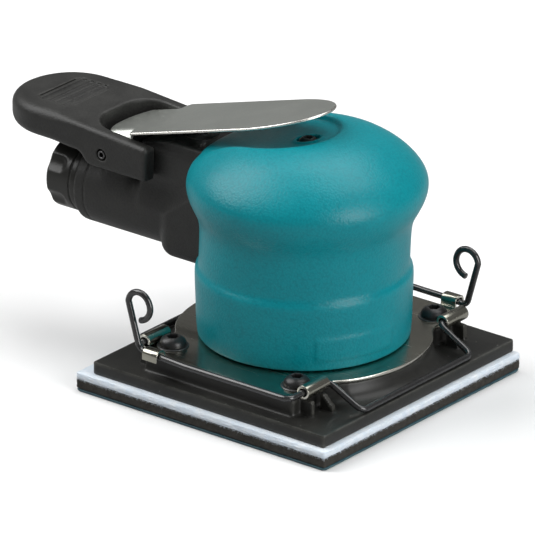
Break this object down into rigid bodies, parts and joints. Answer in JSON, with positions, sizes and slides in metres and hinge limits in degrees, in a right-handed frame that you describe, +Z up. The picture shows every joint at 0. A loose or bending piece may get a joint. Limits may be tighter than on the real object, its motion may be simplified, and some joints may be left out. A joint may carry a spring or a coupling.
{
  "type": "orbital sander",
  "caption": "Palm-grip air orbital sander with a square clip-on abrasive pad, a lever throttle over the handle and an inlet collar at its end.",
  "frame": {"origin": "where the motor's axis meets the pad's working face", "axes": "+Z up along the motor's axis, out of the pad; the handle points to -X, so +X is the free end"},
  "size_m": [0.1652, 0.1017, 0.0961],
  "materials": {
    "teal_overmould": "satin moulded grip with a fine leather grain",
    "black_composite": "fine matt texture",
    "blackened_steel": "black oxide, satin",
    "black_wire": "gloss black coating",
    "nickel_steel": "nickel plated sheet, bright edges",
    "bright_steel": "ground",
    "cast_aluminium": "machined casting",
    "bronze": "machined",
    "rubber": "matt",
    "vane_composite": "laminated, matt",
    "white_felt": "napped fleece",
    "black_foam": "closed-cell, open cut edge",
    "blue_film": "thin vinyl face"
  },
  "bodies": {
    "housing": {"grip_cover": "teal_overmould", "motor_housing": "cast_aluminium", "cover_screw": "blackened_steel", "handle_body": "black_composite", "hand_rest": "black_composite", "lever_pin": "bright_steel", "inlet_bushing": "bright_steel", "inlet_screen": "bright_steel", "muffler_felt": "white_felt", "valve_bushing": "bronze", "valve_spring": "bright_steel", "motor_cylinder": "cast_aluminium", "rear_end_plate": "bronze", "front_end_plate": "bronze", "rear_bearing_outer": "bright_steel", "front_bearing_outer": "bright_steel", "lock_ring": "bright_steel", "support_leg_1": "rubber", "support_leg_2": "rubber", "support_leg_3": "rubber", "support_leg_4": "rubber"},
    "lever": {"throttle_lever": "nickel_steel"},
    "valve": {"valve_stem": "bright_steel"},
    "collar": {"exhaust_collar": "black_composite"},
    "rotor": {"rotor": "bright_steel", "shaft_balancer": "bright_steel", "rear_bearing_inner": "bright_steel", "front_bearing_inner": "bright_steel", "pad_bearing_outer": "bright_steel", "vane_1": "vane_composite", "vane_2": "vane_composite", "vane_3": "vane_composite", "vane_4": "vane_composite", "vane_5": "vane_composite"},
    "pad": {"pad_spindle": "bright_steel", "pad_bearing_inner": "bright_steel", "pad_base": "black_composite", "clip_plate": "nickel_steel", "clip_screw_1": "blackened_steel", "clip_screw_2": "blackened_steel", "clip_screw_3": "blackened_steel", "clip_screw_4": "blackened_steel", "pad_screw": "blackened_steel", "felt_layer": "white_felt", "foam_pad": "black_foam", "pad_face": "blue_film"},
    "front_clip": {"front_clip": "black_wire"},
    "rear_clip": {"rear_clip": "black_wire"}
  },
  "joints": [
    {"name": "rotor_spin", "type": "hinge", "parent": "housing", "child": "rotor", "pos_m": [0, 0, 0.0443], "axis": [0, 0, 1], "continuous": true},
    {"name": "pad_orbit", "type": "hinge", "parent": "rotor", "child": "pad", "pos_m": [0.0012, 0, 0.0164], "axis": [0, 0, 1], "continuous": true},
    {"name": "lever_press", "type": "hinge", "parent": "housing", "child": "lever", "pos_m": [-0.0687, 0, 0.0669], "axis": [0, 1, 0], "range_deg": [0, 4.5], "stiffness_Nm_per_rad": 0.6, "springref_deg": -5.73},
    {"name": "valve_push", "type": "slide", "parent": "housing", "child": "valve", "axis": [0, 0, -1], "range_m": [0, 0.0021], "deforming": ["valve_spring"]},
    {"name": "collar_turn", "type": "hinge", "parent": "housing", "child": "collar", "pos_m": [-0.0851, 0, 0.0488], "axis": [1, 0, 0], "continuous": true},
    {"name": "front_clip_lift", "type": "hinge", "parent": "pad", "child": "front_clip", "pos_m": [0.0325, 0, 0.0189], "axis": [0, 1, 0], "range_deg": [-1.5, 0], "stiffness_Nm_per_rad": 0.8, "springref_deg": 1.72},
    {"name": "rear_clip_lift", "type": "hinge", "parent": "pad", "child": "rear_clip", "pos_m": [-0.0325, 0, 0.0189], "axis": [0, -1, 0], "range_deg": [-1.5, 0], "stiffness_Nm_per_rad": 0.8, "springref_deg": 1.72}
  ],
  "couplings": [
    {"joint": "pad_orbit", "follows": "rotor_spin", "ratio": -1},
    {"joint": "valve_push", "follows": "lever_press", "m_per_rad": 0.0267}
  ]
}
